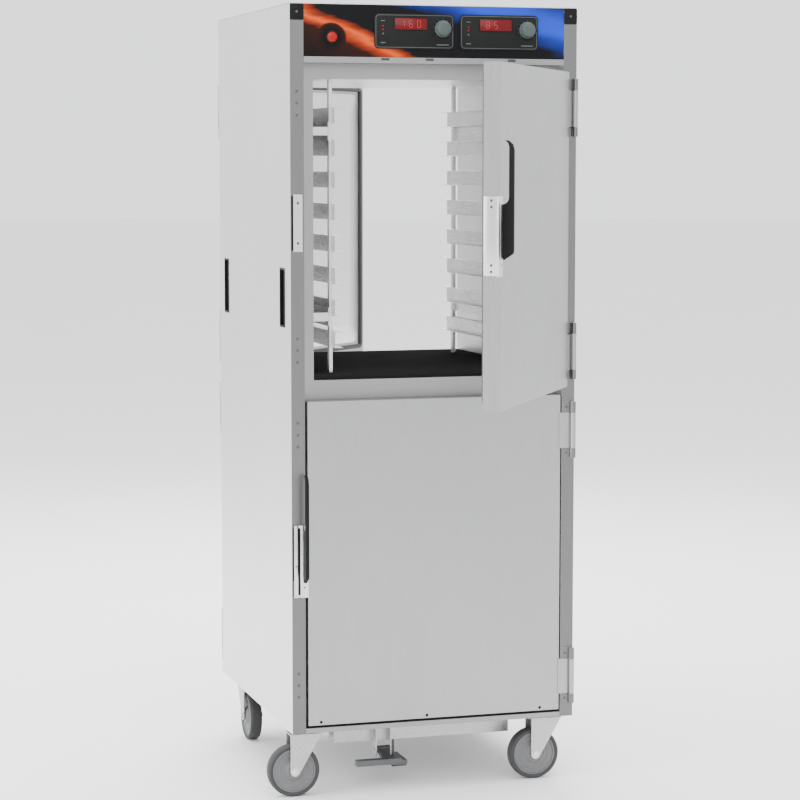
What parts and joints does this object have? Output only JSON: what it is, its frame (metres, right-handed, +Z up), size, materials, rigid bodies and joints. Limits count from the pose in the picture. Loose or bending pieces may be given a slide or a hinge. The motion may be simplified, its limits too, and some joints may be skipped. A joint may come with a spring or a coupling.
{
  "type": "food holding cabinet",
  "caption": "Tall pass-through heated holding cabinet on casters: insulated compartments with pan racks, half-height doors at both ends, controls above, floor lock below.",
  "frame": {"origin": "on the floor, under the middle of the cabinet's body", "axes": "+Z up, -Y out of the front with the controls, +X to the right seen from the front"},
  "size_m": [0.7643, 1.8479, 1.889],
  "materials": {
    "stainless": "brushed stainless sheet, long vertical grain",
    "bright_steel": "bright satin steel",
    "dark_steel": "dark grey satin coating",
    "black_plastic": "black moulded plastic, fine satin",
    "grey_rubber": "matte dark grey rubber",
    "wheel_grey": "grey elastomer tread on a grey core",
    "insulation": "fibre blanket",
    "knob_grey": "grey-green moulded plastic",
    "lit_red": "clear red lens, lit"
  },
  "bodies": {
    "cabinet": {"base_pan": "stainless", "top_panel": "stainless", "insulation": "insulation", "control_panel": "black_plastic", "left_controller": "black_plastic", "right_controller": "black_plastic", "power_inlet": "black_plastic", "floor_lock_channel": "bright_steel", "left_side_panel": "stainless", "right_side_panel": "stainless", "front_door_frame": "stainless", "rear_door_frame": "stainless", "upper_liner": "stainless", "upper_heater_tray": "dark_steel", "upper_heating_element": "dark_steel", "upper_left_rack": "bright_steel", "upper_right_rack": "bright_steel", "lower_liner": "stainless", "lower_heater_tray": "dark_steel", "lower_heating_element": "dark_steel", "lower_left_rack": "bright_steel", "lower_right_rack": "bright_steel", "left_front_hand_grip": "black_plastic", "left_rear_hand_grip": "black_plastic", "right_front_hand_grip": "black_plastic", "right_rear_hand_grip": "black_plastic", "front_upper_strike": "bright_steel", "front_lower_strike": "bright_steel", "rear_upper_strike": "bright_steel", "rear_lower_strike": "bright_steel"},
    "front_upper_door": {"front_upper_door": "stainless", "front_upper_gasket": "grey_rubber", "front_upper_latch": "bright_steel"},
    "front_upper_handle": {"front_upper_handle": "black_plastic"},
    "front_lower_door": {"front_lower_door": "stainless", "front_lower_gasket": "grey_rubber", "front_lower_latch": "bright_steel"},
    "front_lower_handle": {"front_lower_handle": "black_plastic"},
    "rear_upper_door": {"rear_upper_door": "stainless", "rear_upper_gasket": "grey_rubber", "rear_upper_latch": "bright_steel"},
    "rear_upper_handle": {"rear_upper_handle": "black_plastic"},
    "rear_lower_door": {"rear_lower_door": "stainless", "rear_lower_gasket": "grey_rubber", "rear_lower_latch": "bright_steel"},
    "rear_lower_handle": {"rear_lower_handle": "black_plastic"},
    "power_button": {"power_button": "lit_red"},
    "left_knob": {"left_knob": "knob_grey"},
    "right_knob": {"right_knob": "knob_grey"},
    "floor_lock_pedal": {"floor_lock_pedal": "dark_steel"},
    "floor_lock_foot": {"floor_lock_foot": "dark_steel"},
    "front_left_caster_fork": {"front_left_caster_fork": "bright_steel"},
    "front_left_caster_wheel": {"front_left_caster_wheel": "wheel_grey"},
    "front_right_caster_fork": {"front_right_caster_fork": "bright_steel"},
    "front_right_caster_wheel": {"front_right_caster_wheel": "wheel_grey"},
    "rear_left_caster_fork": {"rear_left_caster_fork": "bright_steel"},
    "rear_left_caster_wheel": {"rear_left_caster_wheel": "wheel_grey"},
    "rear_right_caster_fork": {"rear_right_caster_fork": "bright_steel"},
    "rear_right_caster_wheel": {"rear_right_caster_wheel": "wheel_grey"}
  },
  "joints": [
    {"name": "front_upper_door_hinge", "type": "hinge", "parent": "cabinet", "child": "front_upper_door", "pos_m": [0.3495, -0.3885, 1.3565], "axis": [0, 0, 1], "range_deg": [-56, 124]},
    {"name": "front_upper_handle_pull", "type": "hinge", "parent": "front_upper_door", "child": "front_upper_handle", "pos_m": [-0.02135, -0.95225, 1.316], "axis": [0.5592, 0.829, 0], "range_deg": [0, 18], "stiffness_Nm_per_rad": 1.2, "springref_deg": -6.88},
    {"name": "front_lower_door_hinge", "type": "hinge", "parent": "cabinet", "child": "front_lower_door", "pos_m": [0.3495, -0.3885, 0.56725], "axis": [0, 0, 1], "range_deg": [0, 180]},
    {"name": "front_lower_handle_pull", "type": "hinge", "parent": "front_lower_door", "child": "front_lower_handle", "pos_m": [-0.32525, -0.3963, 0.53275], "axis": [1, 0, 0], "range_deg": [0, 18], "stiffness_Nm_per_rad": 1.2, "springref_deg": -6.88},
    {"name": "rear_upper_door_hinge", "type": "hinge", "parent": "cabinet", "child": "rear_upper_door", "pos_m": [-0.3495, 0.3885, 1.3565], "axis": [0, 0, 1], "range_deg": [-44, 136]},
    {"name": "rear_upper_handle_pull", "type": "hinge", "parent": "rear_upper_door", "child": "rear_upper_handle", "pos_m": [0.13046, 0.86283, 1.316], "axis": [-0.7193, -0.6947, 0], "range_deg": [0, 18], "stiffness_Nm_per_rad": 1.2, "springref_deg": -6.88},
    {"name": "rear_lower_door_hinge", "type": "hinge", "parent": "cabinet", "child": "rear_lower_door", "pos_m": [-0.3495, 0.3885, 0.56725], "axis": [0, 0, 1], "range_deg": [0, 180]},
    {"name": "rear_lower_handle_pull", "type": "hinge", "parent": "rear_lower_door", "child": "rear_lower_handle", "pos_m": [0.32525, 0.3963, 0.53275], "axis": [-1, 0, 0], "range_deg": [0, 18], "stiffness_Nm_per_rad": 1.2, "springref_deg": -6.88},
    {"name": "power_button_press", "type": "slide", "parent": "cabinet", "child": "power_button", "axis": [0, 1, 0], "range_m": [0, 0.003], "stiffness_N_per_m": 600, "springref_m": -0.001},
    {"name": "left_knob_turn", "type": "hinge", "parent": "cabinet", "child": "left_knob", "pos_m": [0.0167, -0.3843, 1.833], "axis": [0, -1, 0], "range_deg": [-135, 135]},
    {"name": "right_knob_turn", "type": "hinge", "parent": "cabinet", "child": "right_knob", "pos_m": [0.2277, -0.3843, 1.833], "axis": [0, -1, 0], "range_deg": [-135, 135]},
    {"name": "floor_lock_pedal_press", "type": "hinge", "parent": "cabinet", "child": "floor_lock_pedal", "pos_m": [-0.1065, -0.29, 0.087], "axis": [1, 0, 0], "range_deg": [0, 30]},
    {"name": "floor_lock_foot_slide", "type": "slide", "parent": "cabinet", "child": "floor_lock_foot", "axis": [0, 0, -1], "range_m": [0, 0.0515]},
    {"name": "front_left_caster_swivel", "type": "hinge", "parent": "cabinet", "child": "front_left_caster_fork", "pos_m": [-0.306, -0.337, 0.158], "axis": [0, 0, 1], "continuous": true},
    {"name": "front_left_caster_roll", "type": "hinge", "parent": "front_left_caster_fork", "child": "front_left_caster_wheel", "pos_m": [-0.344, -0.337, 0.0635], "axis": [0, 1, 0], "continuous": true},
    {"name": "front_right_caster_swivel", "type": "hinge", "parent": "cabinet", "child": "front_right_caster_fork", "pos_m": [0.306, -0.337, 0.158], "axis": [0, 0, 1], "continuous": true},
    {"name": "front_right_caster_roll", "type": "hinge", "parent": "front_right_caster_fork", "child": "front_right_caster_wheel", "pos_m": [0.268, -0.337, 0.0635], "axis": [0, 1, 0], "continuous": true},
    {"name": "rear_left_caster_swivel", "type": "hinge", "parent": "cabinet", "child": "rear_left_caster_fork", "pos_m": [-0.306, 0.3, 0.158], "axis": [0, 0, 1], "continuous": true},
    {"name": "rear_left_caster_roll", "type": "hinge", "parent": "rear_left_caster_fork", "child": "rear_left_caster_wheel", "pos_m": [-0.306, 0.262, 0.0635], "axis": [1, 0, 0], "continuous": true},
    {"name": "rear_right_caster_swivel", "type": "hinge", "parent": "cabinet", "child": "rear_right_caster_fork", "pos_m": [0.306, 0.3, 0.158], "axis": [0, 0, 1], "continuous": true},
    {"name": "rear_right_caster_roll", "type": "hinge", "parent": "rear_right_caster_fork", "child": "rear_right_caster_wheel", "pos_m": [0.306, 0.262, 0.0635], "axis": [1, 0, 0], "continuous": true}
  ],
  "couplings": [
    {"joint": "floor_lock_foot_slide", "follows": "floor_lock_pedal_press", "m_per_rad": 0.0983}
  ]
}
